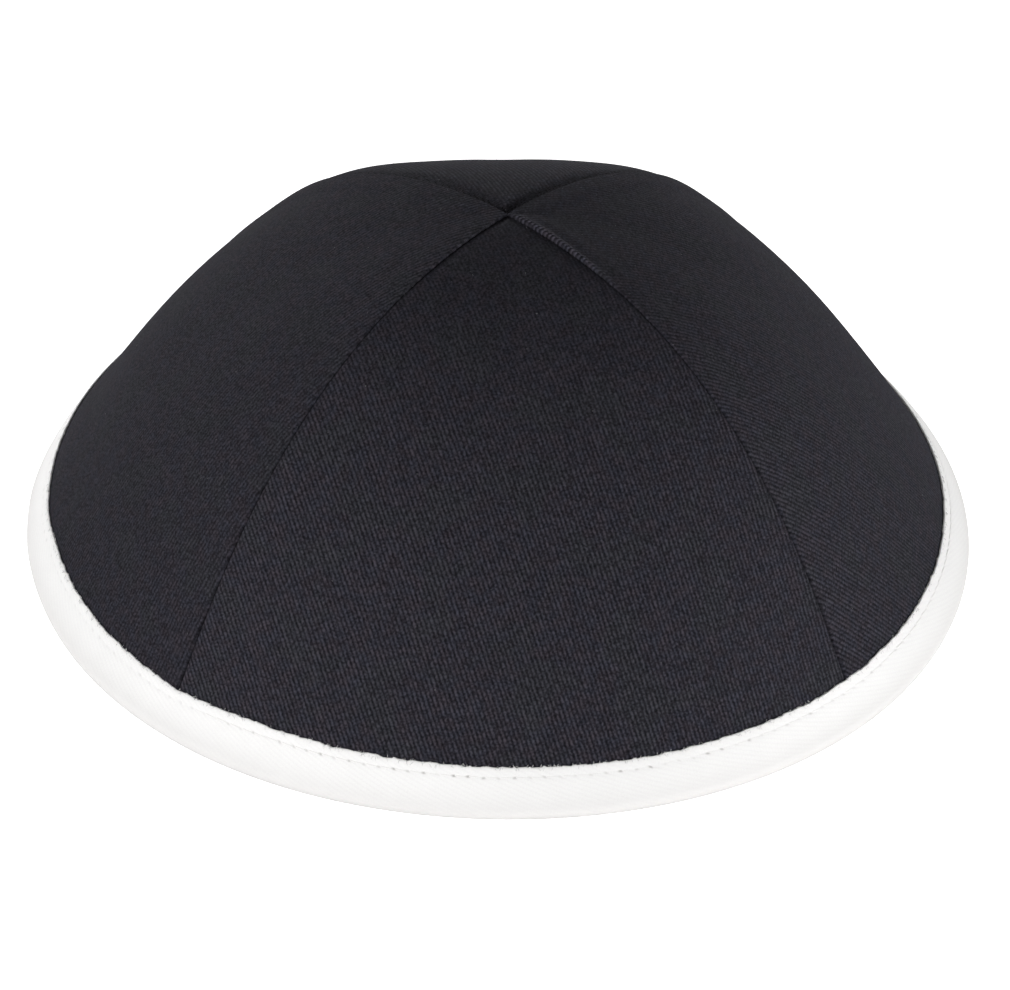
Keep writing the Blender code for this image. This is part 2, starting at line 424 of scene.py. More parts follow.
def makeBlackTwill():
    look = blackTwillLook
    material, tree, shader, cloth = newCloth(
        "blackTwill", look["roughness"], look["sheen"], 0.5, look["sheenTint"]
    )
    wales = placeGroup(tree, twillWales, cloth=cloth)
    mottle = placeGroup(tree, clothMottle, cloth=cloth, fuzzSize=look["fuzzSize"], speckShare=0.2)
    nap, rollAndCrease = readLayer(tree, "nap"), readLayer(tree, "mark")
    # nap evens out the wales' painted groove shade and darkens the cloth: partly the cloth's nap, partly
    # painted shade for how the light falls on each panel
    crisp = maths(tree, "SUBTRACT", 1.0, nap)
    evenTone = maths(tree, "MULTIPLY", nap, look["nappedGroove"])
    groove = maths(tree, "MULTIPLY_ADD", wales["Groove"], crisp, evenTone)
    # painted shade darkens the grooves between the wales
    colour = mixColours(tree, groove, look["wale"], look["groove"])
    # the dye leans to blue or warm in small spots, and to green in larger patches
    tint = remap(tree, mottle["Tint"], 0.35, 0.65, 0.0, 1.0)
    tinted = mixColours(tree, tint, look["blueTint"], look["warmTint"])
    green = remap(tree, mottle["Patches"], 0.5, 0.6, 0.0, 0.7)
    tinted = mixColours(tree, green, tinted, look["greenTint"])
    colour = mixColours(tree, 1.0, colour, tinted, "MULTIPLY")
    tone = remap(tree, wales["Float Tone"], 0.0, 1.0, *look["floatTone"])
    tone = maths(tree, "MULTIPLY", tone, remap(tree, mottle["Fuzz"], 0.30, 0.70, *look["grainTone"]))
    # a roll's mark paints a highlight on the wales' crests, and a crease's mark paints shade on them
    crest = maths(tree, "SUBTRACT", maths(tree, "POWER", wales["Height"], 2.2), 0.16)
    crest = maths(tree, "MULTIPLY", rollAndCrease, crest)
    tone = maths(tree, "MULTIPLY_ADD", crest, look["rolledTone"], tone)
    colour = mixColours(tree, mottle["Specks"], scaleColour(tree, colour, tone), look["lint"])
    tree.links.new(colour, shader.inputs["Base Color"])
    fuzz = maths(tree, "MULTIPLY", mottle["Fuzz"], look["fuzzDepth"])
    deeper = maths(tree, "MULTIPLY_ADD", rollAndCrease, look["rolledDepth"], crisp)
    height = maths(tree, "MULTIPLY_ADD", wales["Height"], deeper, fuzz)
    addBump(tree, shader, height, look["waleDepth"])
    return material


whiteTapeLook = {
    # wale is the colour on the crests; groove is painted shade between the wales
    "wale": (0.890, 0.886, 0.876),
    "groove": (0.874, 0.866, 0.863),
    "shade": (0.48, 0.46, 0.45),  # painted shade in the stitch holes, at the frayed edge and towards the fold
    "patchTone": (0.985, 1.0),
    "grainTone": (0.975, 1.01),
    "walePitch": 0.80,
    "waleDepth": 0.000012,
    "fuzzDepth": 0.8,
    "roughness": 0.85,
}


def makeWhiteTape():
    look = whiteTapeLook
    material, tree, shader, cloth = newCloth("whiteTape", look["roughness"], 0.03, 0.5)
    wales = placeGroup(
        tree, twillWales, cloth=cloth, walePitch=look["walePitch"], waleLean=1.0,
        floatLength=0.6, floatSlant=0.3, wander=0.15,
    )
    mottle = placeGroup(tree, clothMottle, cloth=cloth, patchSize=6.0, tintSize=2.0, speckShare=0.0)
    # painted shade darkens the grooves between the wales
    colour = mixColours(tree, wales["Groove"], look["wale"], look["groove"])
    patch = remap(tree, mottle["Patches"], 0.3, 0.7, *look["patchTone"])
    grain = remap(tree, mottle["Fuzz"], 0.3, 0.7, *look["grainTone"])
    colour = scaleColour(tree, colour, maths(tree, "MULTIPLY", patch, grain))
    # the mark paints shade into the stitch holes, at the frayed edge and towards the fold
    colour = mixColours(tree, readLayer(tree, "mark"), colour, look["shade"])
    tree.links.new(colour, shader.inputs["Base Color"])
    height = maths(tree, "MULTIPLY_ADD", mottle["Fuzz"], look["fuzzDepth"], wales["Height"])
    addBump(tree, shader, height, look["waleDepth"])
    return material


whiteThreadLook = {
    # ply is the colour on the plies; between is painted shade in the hollows between them
    "ply": (0.89, 0.885, 0.875),
    "between": (0.78, 0.77, 0.76),
    "plyPitch": 0.30,
    "plyDepth": 0.00002,
}


def makeWhiteThread():
    look = whiteThreadLook
    material, tree, shader, cloth = newCloth("whiteThread", 0.6, 0.05, 0.4)
    plies = placeGroup(
        tree, twillWales, cloth=cloth, walePitch=look["plyPitch"], waleLean=1.0,
        floatLength=4.0, wander=0.02,
    )
    # painted shade darkens the hollows between the plies
    colour = mixColours(tree, plies["Groove"], look["ply"], look["between"])
    tree.links.new(colour, shader.inputs["Base Color"])
    addBump(tree, shader, plies["Height"], look["plyDepth"])
    return material


fibreLook = {"dark": (0.035, 0.034, 0.040), "pale": (0.30, 0.30, 0.31), "unevenTone": (0.8, 1.2)}


def makeFibreMaterial():
    # loose fibres, each between dark and pale by its mark
    look = fibreLook
    material, tree, shader, cloth = newCloth("looseFibre", 0.7, 0.0, 0.4)
    mottle = placeGroup(tree, clothMottle, cloth=cloth, fuzzSize=0.2, speckShare=0.0)
    colour = mixColours(tree, readLayer(tree, "mark"), look["dark"], look["pale"])
    colour = scaleColour(tree, colour, remap(tree, mottle["Fuzz"], 0.3, 0.7, *look["unevenTone"]))
    tree.links.new(colour, shader.inputs["Base Color"])
    return material


blackTwill = makeBlackTwill()
whiteTape = makeWhiteTape()
whiteThread = makeWhiteThread()
looseFibre = makeFibreMaterial()
print("materials made")


# The four panels.
panelForm = {
    "wall": 1.0,  # mm, like every number here
    "seamGap": 0.02,
    "band": 7.5,  # how wide a strip beside each seam has columns of its own
    "columns": 44,
    "rows": 130,
    "underEdge": {"radius": 0.40},  # front and back, sewn below
    "overEdge": {"radius": 0.38, "lift": 0.22, "liftFades": (3.5, 6.8)},  # left and right, on top
    "allowance": 6.0,  # the turned edges, pressed towards the left and right panels
    "allowanceWall": 0.6,
    "wave": 0.10,
    "waveReach": 40.0,
    "dimple": 0.22,  # the four tips draw each other in
    "dimpleReach": 2.4,
    # how far up from the hem each of these begins and is whole, as all lies flat under the tape
    "edgesShow": (7.0, 10.0),
    "allowanceShows": (8.0, 13.0),
    "slackShows": (8.0, 20.0),
    "rollWidth": 0.75,  # of the rolled edge that stands up beside some seams near the top
    "rollReach": 13.0,
    "rollFade": 17.0,
    "rollThins": 0.4,  # by the end of its reach
    "dropFades": (18.0, 32.0),  # from the top, where the drop beside a seam narrows and fades
    "dropLeft": 0.45,  # the share of it that stays
    "napTurns": (12.0, 62.0),  # from the top, where a panel's nap and painted shade turn from its top's to its sides'
    "creaseReach": 2.2,  # how far a crease's painted shade spreads from its seam
}

# seam is the first of a panel's two seams, and over says that it is sewn over its neighbours.
# rolls is how high the edge rolls up at each of its seams.
# drop is how far the face of a panel that is sewn below sinks towards its seams, and how wide.
# nap is how much of the wales it hides, from 0 to 1, on the panel's two sides and at its top: partly the
# cloth's nap, partly painted shade that evens out the wales and darkens the panel as the light falls on it.
# crease is how much painted shade darkens the cloth beside the panel's seams.
panels = {
    "front": {"seam": 0, "waleAngle": 17.5, "over": False, "drop": (0.25, 2.6), "nap": (0.0, 0.0, 0.70)},
    "right": {"seam": 1, "waleAngle": 13.2, "over": True, "rolls": (0.42, 0.0), "nap": (0.0, 0.30, 0.65)},
    "back": {
        "seam": 2, "waleAngle": 17.0, "over": False, "drop": (0.55, 5.0), "nap": (0.4, 0.4, 0.35),
        "crease": 0.75,
    },
    "left": {"seam": 3, "waleAngle": 19.0, "over": True, "nap": (0.95, 0.40, 0.25)},
}


def edgeColumns(over):
    # the columns beside a seam, as mm from it and mm into the cloth, from the inner corner outwards
    gap, wall = panelForm["seamGap"], panelForm["wall"]
    radius = panelForm["overEdge" if over else "underEdge"]["radius"]
    columns = [(gap, wall), (gap, (wall + radius) / 2)]
    for turn in np.radians(np.linspace(0, 90, 9)):
        columns.append((gap + radius * (1 - math.cos(turn)), radius * (1 - math.sin(turn))))
    for spot in (0.75, 0.95, 1.2, 1.5, 1.9, 2.4, 3.0, 3.7, 4.4, 5.1, 5.8, 6.5, panelForm["band"]):
        columns.append((gap + spot, 0.0))
    return np.array(columns)


def flatPattern(panel, points, middle):
    # cloth coordinates in mm, as if the panel were laid flat from its middle line outwards
    alongs = np.linspace(0, 1, 500)
    line = crownPoint(middle + 0 * alongs, 0 * alongs, alongs)
    ahead = np.array([math.cos(middle), math.sin(middle)])
    aside = np.array([-math.sin(middle), math.cos(middle)])
    lineY, lineZ = line[:, :2] @ ahead, line[:, 2]
    lineLength = np.concatenate([[0], np.cumsum(np.hypot(np.diff(lineY), np.diff(lineZ)))])
    flat = points.reshape(-1, 3)
    x, y, z = flat[:, :2] @ aside, flat[:, :2] @ ahead, flat[:, 2]
    nearest = np.array([((lineY - b) ** 2 + (lineZ - c) ** 2).argmin() for b, c in zip(y, z)])
    first = np.clip(nearest - 1, 0, len(alongs) - 3)
    spanY, spanZ = lineY[first + 2] - lineY[first], lineZ[first + 2] - lineZ[first]
    span = np.hypot(spanY, spanZ)
    share = ((y - lineY[first]) * spanY + (z - lineZ[first]) * spanZ) / span**2
    offY, offZ = y - lineY[first] - share * spanY, z - lineZ[first] - share * spanZ
    down = (lineLength[first] + share * (lineLength[first + 2] - lineLength[first])) / mm
    middleX = line[0, :2] @ aside
    wide = np.sign(x - middleX) * np.sqrt((x - middleX) ** 2 + offY**2 + offZ**2) / mm
    turn = math.radians(panel["waleAngle"])
    acrossWales = wide * math.cos(turn) - down * math.sin(turn)
    alongWales = wide * math.sin(turn) + down * math.cos(turn)
    start = 400.0 * (panel["seam"] + 1)
    return np.stack([acrossWales + start, alongWales + start], axis=-1).reshape(*points.shape[:-1], 2)


def panelColumns(over):
    # a panel's outer face from one seam to the other, then the same again for its inner face. Each
    # column has its side, its mm from that side's seam, its share of the stretch between the two
    # sides' bands, and its mm into the cloth.
    form = panelForm
    edge = edgeColumns(over)
    inner = np.linspace(0, 1, form["columns"] + 1)[1:-1]
    count = 2 * len(edge) + len(inner)
    order = np.concatenate([np.arange(count), np.arange(count - 2, -1, -1)])
    isInner = np.arange(len(order)) >= count
    isCorner = np.isin(np.arange(len(order)), (0, count - 1))
    side = np.concatenate([-np.ones(len(edge)), 0 * inner, np.ones(len(edge))])[order]
    reach = np.concatenate([edge[:, 0], 0 * inner, edge[::-1, 0]])[order]
    share = np.concatenate([0 * edge[:, 0], inner, 0 * edge[:, 0]])[order]
    depth = np.concatenate([edge[:, 1], 0 * inner, edge[::-1, 1]])[order]
    return side, reach, share, np.where(isInner, form["wall"], depth), isInner | isCorner, count


def spreadColumns(low, high, side, reach, share, alongs):
    # each column's azimuth on every row, and how many mm it lies from the nearer seam
    band = panelForm["band"]
    radii = []
    for sign, angle in ((-1, low), (1, high)):
        points = crownPoint(angle + 0 * alongs, sign + 0 * alongs, alongs)
        leanX = crown["leanX"] * points[:, 2] / crown["height"]
        leanY = crown["leanY"] * points[:, 2] / crown["height"]
        radius = np.hypot(points[:, 0] - leanX, points[:, 1] - leanY) / mm
        radii.append(np.maximum(radius, 1e-4)[:, None])
    # near the top, where a panel is narrow, the bands are squeezed
    squeezes = [np.minimum(1, 0.85 * radius * (high - low) / 2 / band) for radius in radii]
    bandLow, bandHigh = low + band * squeezes[0] / radii[0], high - band * squeezes[1] / radii[1]
    atLow, atHigh = low + reach * squeezes[0] / radii[0], high - reach * squeezes[1] / radii[1]
    between = bandLow + share * (bandHigh - bandLow)
    azimuth = np.where(side < 0, atLow, np.where(side > 0, atHigh, between))
    return azimuth, np.minimum((azimuth - low) * radii[0], (high - azimuth) * radii[1])


def panelRidge(panel, at):
    # how high the edge is rolled up beside the seams, in mm
    form, fromTop = panelForm, at["fromTop"]
    nearTop = 1 - easeStep(form["rollReach"], form["rollReach"] + form["rollFade"], fromTop)
    width = form["rollWidth"] * (1 - form["rollThins"] * easeStep(4.0, form["rollReach"] + 6, fromTop))
    ridge = np.exp(-(((at["fromSeam"] - width) / width) ** 2)) * nearTop
    return ridge * np.where(at["across"] < 0, *panel.get("rolls", (0.0, 0.0)))


def panelLift(panel, at, ridge):
    # how far the panel's outer face stands off the plain crown, in mm
    form, fromTop = panelForm, at["fromTop"]
    shown = easeStep(*form["edgesShow"], at["rise"])
    slack = easeStep(*form["slackShows"], at["rise"])
    if panel["over"]:
        edge = form["overEdge"]
        lift = edge["lift"] * (1 - easeStep(*edge["liftFades"], at["fromSeam"])) * shown
    else:
        drop, dropReach = panel["drop"]
        kept = 1 - (1 - form["dropLeft"]) * easeStep(*form["dropFades"], fromTop)
        lift = -drop * kept * (1 - easeStep(0.0, dropReach * kept, at["fromSeam"])) * shown
    waves = softWaves(at["base"] / mm, form["waveReach"], panel["seam"] + 11)
    lift = lift + form["wave"] * waves * easeStep(2.0, 9.0, at["fromSeam"]) * slack
    lift = lift - form["dimple"] * np.exp(-((fromTop / form["dimpleReach"]) ** 2))
    lift = lift + swellHere(at["azimuth"], at["along"]) * slack
    return lift + ridge * easeStep(0.0, 4.0, fromTop)


def panelShades(panel, at, ridge):
    # for the material: the mark of a roll, which paints a highlight on its wales' crests, or, below 0, of a
    # crease, which paints shade; and how much of the wales the nap and painted shade hide
    form = panelForm
    crease = panel.get("crease", 0.0) * np.exp(-((at["fromSeam"] / form["creaseReach"]) ** 2))
    napAndShadeLow, napAndShadeHigh, napAndShadeTop = panel["nap"]
    napAndShadeSides = napAndShadeLow + (napAndShadeHigh - napAndShadeLow) * (at["across"] + 1) / 2
    lower = easeStep(*form["napTurns"], at["fromTop"])
    nap = (napAndShadeTop * (1 - lower) + napAndShadeSides * lower) * (1 - np.clip(ridge * 2, 0, 1))
    return ridge * 2 - crease, nap


def makePanel(name, panel):
    form = panelForm
    low, high = (math.radians((seamAngles + [seamAngles[0] + 360])[panel["seam"] + i]) for i in (0, 1))
    middle, half = (low + high) / 2, (high - low) / 2
    side, reach, share, depth, isUnder, count = panelColumns(panel["over"])
    # rows stand closer together towards the top and towards the tape
    alongs = np.append(np.linspace(0, 1, form["rows"] + 1) ** 0.85, 1.0)
    azimuth, fromSeam = spreadColumns(low, high, side, reach, share, alongs)
    across = (azimuth - middle) / half
    along = np.broadcast_to(alongs[:, None], azimuth.shape)
    base = crownPoint(azimuth, across, along)
    tableAlongs, rises = riseTable(np.array([middle]), np.array([0.0]), 0.0)
    rise = np.interp(1 - alongs, 1 - tableAlongs, rises[:, 0])[:, None] + 0 * azimuth
    fromTop = np.hypot(base[..., 0] - crown["leanX"], base[..., 1] - crown["leanY"]) / mm
    at = {
        "azimuth": azimuth, "across": across, "along": along, "base": base,
        "rise": rise, "fromTop": fromTop, "fromSeam": fromSeam,
    }
    ridge = panelRidge(panel, at)
    toBody = easeStep(0.4, 2.8, fromSeam)[..., None]
    out = outOfCloth(azimuth, across, along) * (1 - toBody)
    out = unit(out + squareToCloth(azimuth, across, along, half) * toBody)
    depths = depth[None, :] + 0 * azimuth
    if panel["over"]:
        folded = 1 - easeStep(form["allowance"] - 0.3, form["allowance"] + 0.3, fromSeam)
        folded = folded * easeStep(*form["allowanceShows"], rise)
        depths = np.where(isUnder, depths + form["allowanceWall"] * folded, depths)
    depths[-1] = form["wall"] / 2
    points = base + out * (panelLift(panel, at, ridge) - depths)[..., None] * mm
    # the hem's last row closes the shell: inner and outer columns meet there
    points[-1, count:] = points[-1, : count - 1][::-1]
    bm = startMesh()
    addGrid(bm, points, flatPattern(panel, base, middle), *panelShades(panel, at, ridge))
    piece = finishPiece(bm, "crownPanel." + name, blackTwill, ["panel_" + name])
    return piece


crownPanels = [makePanel(panelName, panelData) for panelName, panelData in panels.items()]


# The tape, folded round the hem and sewn through it.
tapeForm = {
    "stitches": 200,
    "topRise": 7.25,  # mm up the crown from its hem, like every number here
    "edgeRadius": 0.24,
    "edgeWaver": 0.10,
    "blips": 420,  # places where a thread end lifts the edge
    "proud": 0.50,  # the tape's face above the crown's, at its sewn edge
    "proudBelow": 1.22,  # the same near the fold, which is bulkier
    "bulge": 1.5,  # 1 is a straight face between the two
    "innerRise": 6.2,
    "innerProud": 0.85,
    "clear": 0.06,  # between the tape's hidden faces and the crown
    "foldOut": 1.85,  # half axes of the fold, from the middle of the crown's wall
    "foldIn": 2.05,
    "foldDown": 1.98,
    "stitchRise": 5.45,
    "stitchSink": 0.03,
    "holeLong": 0.40,
    "holeHigh": 0.19,
    "holeDepth": 0.12,
    "foldShade": 0.46,  # painted shade where the tape turns under, which greys it
    "foldShadeReach": (4.5, -2.0),  # from so far up the cloth, down past the hem
    "edgeShade": 0.10,  # painted shade at the frayed, rounded edge
    "edgeShadeReach": 0.5,
    "waleAngle": 22.5,
    "followsEdge": 0.8,  # how much of the sewn edge's wandering the stitch line shares
    # the next three change round the rim and are given by azimuth. How open the holes are and how dark the
    # painted shade in them is
    "slack": {-180: 0.3, -128: 0.3, -112: 1.0, -70: 1.0, -50: 0.5, -20: 0.25, 90: 0.6, 180: 0.3},
    # how far the sewn edge wanders up the cloth
    "wander": {
        -180: -0.6, -176: -0.9, -170: -0.15, -163: -0.1, -142: -0.1, -135: -0.45, -127: 0.3,
        -120: 0.42, -108: 0.25, -95: 0.08, -85: 0.05, -76: -0.1, -66: 0.0, -58: 0.1, -47: 0.1,
        -42: 0.15, -34: 0.4, -22: 0.5, -12: 0.6, -4: 0.3, 6: 0.1, 90: 0.0, 164: 0.0, 172: -0.3,
        180: -0.6,
    },
    # how much flatter the fold is pressed
    "pressed": {
        -180: 0.56, -175: 0.38, -160: 0.48, -155: 0.35, -150: 0.15, -143: 0.0, -128: 0.1, -120: 0.35,
        -110: 0.2, -98: 0.3, -88: 0.0, 120: 0.0, 138: 0.5, 150: 0.95, 156: 1.05, 162: 1.0,
        167: 0.85, 170: 0.72, 175: 0.57, 180: 0.56,
    },
    "pressedFace": 0.85,  # the share of it that the face takes near the fold
    "threadRadius": 0.11,
    "threadRings": 13,
    "threadSides": 8,
}

# from the crown's outer face to the tape's face inside the cap
innerFace = crown["clothWall"] / mm + tapeForm["innerProud"]

holeSteps = (-0.62, -0.42, -0.25, -0.1, 0.06, 0.21, 0.38, 0.58)  # mm from a hole to its columns

# how far up the cloth the rows of the tape's face are, closest together at the stitches
faceRises = (
    6.75, 6.5, 6.3, 6.1, 5.95, 5.8, 5.67, 5.55, 5.44, 5.33, 5.21, 5.08, 4.93, 4.75,
    4.5, 4.1, 3.5, 2.8, 2.1, 1.4, 0.8,
)


def roundRim(name, azimuth):
    # one of the tape's values that change round the rim
    table = tapeForm[name]
    return np.interp(np.degrees(azimuth), list(table), list(table.values()), period=360)


def tapeAzimuth(place, around):
    return math.radians(90) + place / around * 2 * math.pi


def tapeHoles():
    # how far round the rim each stitch hole lies, in mm from the back, and its own small differences
    dice = np.random.default_rng(5)
    number = tapeForm["stitches"]
    around = 2 * math.pi * crown["hemRadius"] / mm
    holes = {
        "place": (np.arange(number) + dice.uniform(-0.05, 0.05, number)) * around / number,
        "strength": dice.uniform(0.2, 1.1, number),
        "height": dice.normal(0, 0.05, number),
        "tilt": dice.normal(0.22, 0.15, number),
    }
    holes["strength"] = holes["strength"] * roundRim("slack", tapeAzimuth(holes["place"], around))
    return around, holes


def liftedPoints(azimuth, rise, offset):
    # points so many mm up the cloth from the hem and out of its face
    across = acrossOf(azimuth)
    alongs, rises = riseTable(azimuth, across, 0.85)
    rise = rise + 0 * azimuth
    along = np.array([np.interp(r, rises[:, i], alongs) for i, r in enumerate(rise)])
    out = outOfCloth(azimuth, across, along)
    return crownPoint(azimuth, across, along) + out * (offset + 0 * azimuth)[:, None] * mm


def tapeProud(azimuth, rise):
    # how far the tape's outer face stands above the crown's, so many mm up the cloth
    form = tapeForm
    upTo = np.clip((rise - 0.8) / (form["topRise"] - form["edgeRadius"] - 0.8), 0, 1)
    below = form["proudBelow"] - form["pressedFace"] * roundRim("pressed", azimuth)
    return below + (form["proud"] - below) * upTo ** form["bulge"]


def tapeShade(rise):
    # painted shade that greys the tape towards its fold
    start, end = tapeForm["foldShadeReach"]
    return tapeForm["foldShade"] * np.clip((start - rise) / (start - end), 0, 1) ** 1.6


def tapeTop(columns, azimuth, around):
    # how far up the cloth the top edge is: slow wandering, quicker waver, and its threads' jags
    form = tapeForm
    dice = np.random.default_rng(6)
    waver = sum(
        np.sin(azimuth * turns + dice.uniform(0, 6.283)) * size
        for turns, size in ((19, 0.3), (47, 0.4), (101, 0.5), (163, 0.4), (290, 0.3))
    )
    jag = np.append(dice.normal(0, 0.6, len(columns) - 1), 0)
    blipPlaces = dice.uniform(2, around - 2, form["blips"])
    blipHeights = dice.uniform(0.03, 0.14, form["blips"])
    nearness = (columns[:, None] - blipPlaces) / dice.uniform(0.15, 0.35, form["blips"])
    blips = (blipHeights * np.exp(-nearness**2)).sum(axis=1)
    jag[-1], blips[-1] = jag[0], blips[0]
    return form["topRise"] + roundRim("wander", azimuth) + form["edgeWaver"] * (waver + jag) + blips


# Each of the next four gives rows of the tape's cross-section: their points, how far across the tape
# they are in mm, and their mark, the painted shade that greys the tape.
def edgeRows(azimuth, top):
    # the hidden side of the top edge, and round it
    form, radius = tapeForm, tapeForm["edgeRadius"]
    for turn in np.radians([200, 150, 120, 90, 62, 36, 14]):
        rise = top - radius + radius * math.sin(turn)
        points = liftedPoints(azimuth, rise, form["proud"] - radius + radius * math.cos(turn))
        # the rounded edge carries painted shade
        yield points, -0.6 + 0.4 * (2 - turn), form["edgeShade"]


def faceRows(azimuth, top, holes):
    # down the outer face, which dips at the stitches and their holes
    form = tapeForm
    wandering = roundRim("wander", azimuth) * form["followsEdge"]
    whichHole = np.append(np.repeat(np.arange(form["stitches"]), len(holeSteps)), 0)
    fromHole = np.append(np.tile(holeSteps, form["stitches"]), holeSteps[0])
    stitchLine = form["stitchRise"] + wandering + holes["height"][whichHole]
    for faceRise in faceRises:
        # rows near the stitches follow their line, and those below follow the fold
        rise = faceRise + wandering * easeStep(2.5, 5.0, np.array(faceRise))
        risen = rise - stitchLine + holes["tilt"][whichHole] * fromHole
        spot = (fromHole / form["holeLong"]) ** 2 + (risen / form["holeHigh"]) ** 2
        groove = form["stitchSink"] * np.exp(-((risen / 0.55) ** 2))
        dip = form["holeDepth"] * holes["strength"][whichHole] * np.exp(-spot)
        # painted shade in the stitch holes, towards the fold and at the frayed edge
        shade = np.exp(-(spot**1.3)) * holes["strength"][whichHole] + tapeShade(rise)
        shade = shade + form["edgeShade"] * np.exp(-(((top - rise) / form["edgeShadeReach"]) ** 2))
        points = liftedPoints(azimuth, rise, tapeProud(azimuth, rise) - groove - dip)
        yield points, form["topRise"] - rise, shade


def foldRows(azimuth, middleOfWall, out, down):
    # the fold: half an ellipse round the hem's edge, flat where it stands on the table
    form = tapeForm
    foldOut = form["foldOut"] - roundRim("pressed", azimuth)
    for turn in np.radians([0, 14, 28, 42, 56, 70, 82, 94, 106, 118, 130, 144, 160, 180]):
        side = foldOut if turn < math.pi / 2 else form["foldIn"] + 0 * azimuth
        points = middleOfWall + out * (side * math.cos(turn))[:, None] * mm
        points = points + down * form["foldDown"] * math.sin(turn) * mm
        points[:, 2] = np.maximum(points[:, 2], 0)
        # painted shade greys the fold, half as much where it has turned inside
        yield points, form["topRise"] + 2 * turn, tapeShade(-2 * turn) * (1 if turn < 2 else 0.5)


def innerRows(azimuth, middleOfWall, down):
    # up the inside, over its edge, and back down against the crown's inner face
    form, clear = tapeForm, tapeForm["clear"]
    wall = crown["clothWall"] / mm
    reached = form["topRise"] + 2 * math.pi
    for rise in (0.9, 2.0, 3.2, 4.3, 5.0, 5.45, 5.9):
        fuller = (form["foldIn"] - wall / 2 - form["innerProud"]) * max(0, 1 - rise / 3)
        yield liftedPoints(azimuth, rise, -innerFace - fuller), reached + rise, 0
    rounding = form["innerProud"] / 2 - clear / 2
    for turn in np.radians([180, 145, 110, 75, 40, 5]):
        rise = form["innerRise"] + rounding * math.sin(turn)
        offset = -wall - clear - rounding + rounding * math.cos(turn)
        yield liftedPoints(azimuth, rise, offset), reached + 6.5 + (math.pi - turn), 0
    for rise in (3.0, 0.3):
        yield liftedPoints(azimuth, rise, -wall - clear), reached + 12, 0
    yield middleOfWall + down * 0.4 * mm, reached + 12, 0
    for rise in (0.3, 4.0):
        yield liftedPoints(azimuth, rise, clear), reached + 12, 0


def makeTape():
    around, holes = tapeHoles()
    columns = (holes["place"][:, None] + np.array(holeSteps)[None, :]).ravel()
    columns = np.append(columns, columns[0] + around)
    azimuth = tapeAzimuth(columns, around)
    top = tapeTop(columns, azimuth, around)
    across = acrossOf(azimuth)
    hem = crownPoint(azimuth, across, 1 + 0 * azimuth)
    out = outOfCloth(azimuth, across, 1 + 0 * azimuth)
    down = np.cross(np.stack([-np.sin(azimuth), np.cos(azimuth), 0 * azimuth], axis=-1), out)
    middleOfWall = hem - out * crown["clothWall"] / 2
    rows = [*edgeRows(azimuth, top), *faceRows(azimuth, top, holes)]
    rows += [*foldRows(azimuth, middleOfWall, out, down), *innerRows(azimuth, middleOfWall, down)]
    rows.append((rows[0][0], rows[-1][1], rows[0][2]))
    points, measure, marks = (np.stack(part) for part in zip(
        *((spots, far + 0 * azimuth, mark + 0 * azimuth) for spots, far, mark in rows)
    ))
    points[:, -1] = points[:, 0]
    # the wales cross the tape at waleAngle, laid out in mm round the rim and across the tape
    turn = math.radians(tapeForm["waleAngle"])
    acrossWales = columns * math.sin(turn) - measure * math.cos(turn)
    alongWales = columns * math.cos(turn) + measure * math.sin(turn)
    bm = startMesh()
    addGrid(bm, points, np.stack([acrossWales, alongWales], axis=-1), marks)
    return finishPiece(bm, "rimTape", whiteTape, ["rim_binding"], 1e-6)


def makeStitches():
    # one thread tube from each hole to the next, outside and inside, their ends sunk in the holes
    form = tapeForm
    around, holes = tapeHoles()
    number, rings, radius = form["stitches"], form["threadRings"], form["threadRadius"]
    share = np.linspace(0, 1, rings)
    sunk = np.clip(np.minimum(share, 1 - share) / 0.17, 0, 1)
    girth = np.where((share == 0) | (share == 1), 0, radius)[:, None, None] * mm  # its ends are closed
    turns = np.linspace(0, 2 * math.pi, form["threadSides"] + 1)
    depth = np.tile(-0.09 - 0.30 * (1 - sunk) ** 2, number)
    slant = np.tile((share - 0.5) * -0.16, number)
    bm = startMesh()
    for wayOut in (1, -1):
        starts = holes["place"] + (0 if wayOut > 0 else around / number / 2)
        ends = np.append(starts[1:], starts[0] + around)
        places = starts[:, None] + (ends - starts)[:, None] * share[None, :]
        azimuth = tapeAzimuth(places.ravel(), around)
        rise = form["stitchRise"] + roundRim("wander", azimuth) * form["followsEdge"] + slant
        if wayOut > 0:
            face = tapeProud(azimuth, form["stitchRise"]) - form["stitchSink"]
        else:
            face = 0 * azimuth - innerFace
        centre = liftedPoints(azimuth, rise, face + wayOut * depth).reshape(number, rings, 3)
        out = outOfCloth(azimuth, acrossOf(azimuth), 0.93 + 0 * azimuth).reshape(number, rings, 3)
        ahead = unit(np.gradient(centre, axis=1))
        out = unit(out - ahead * (out * ahead).sum(-1, keepdims=True))
        aside = np.cross(ahead, out)
        for stitch in range(number):
            ring = out[stitch][:, None] * np.cos(turns)[None, :, None]
            ring = ring + aside[stitch][:, None] * np.sin(turns)[None, :, None]
            length = (share * around / number + stitch * 3.1)[:, None] + 0 * turns
            cloth = np.stack([length + turns * radius, length], axis=-1)
            addGrid(bm, centre[stitch][:, None] + girth * ring, cloth)
    return finishPiece(bm, "rimStitches", whiteThread)


rimTape = makeTape()
rimStitches = makeStitches()


# Loose fibres: frays on the tape's sewn edge, and lint on the crown and just under that edge.
fibreForm = {
    "sides": 3,
    "frays": {"count": 620, "length": (0.18, 0.62), "radius": 0.040},  # mm, like the next two
    "edgeLint": {"count": 480, "length": (0.35, 1.1), "radius": 0.017},
    "crownLint": {"count": 480, "length": (0.12, 0.5), "radius": 0.020},
}


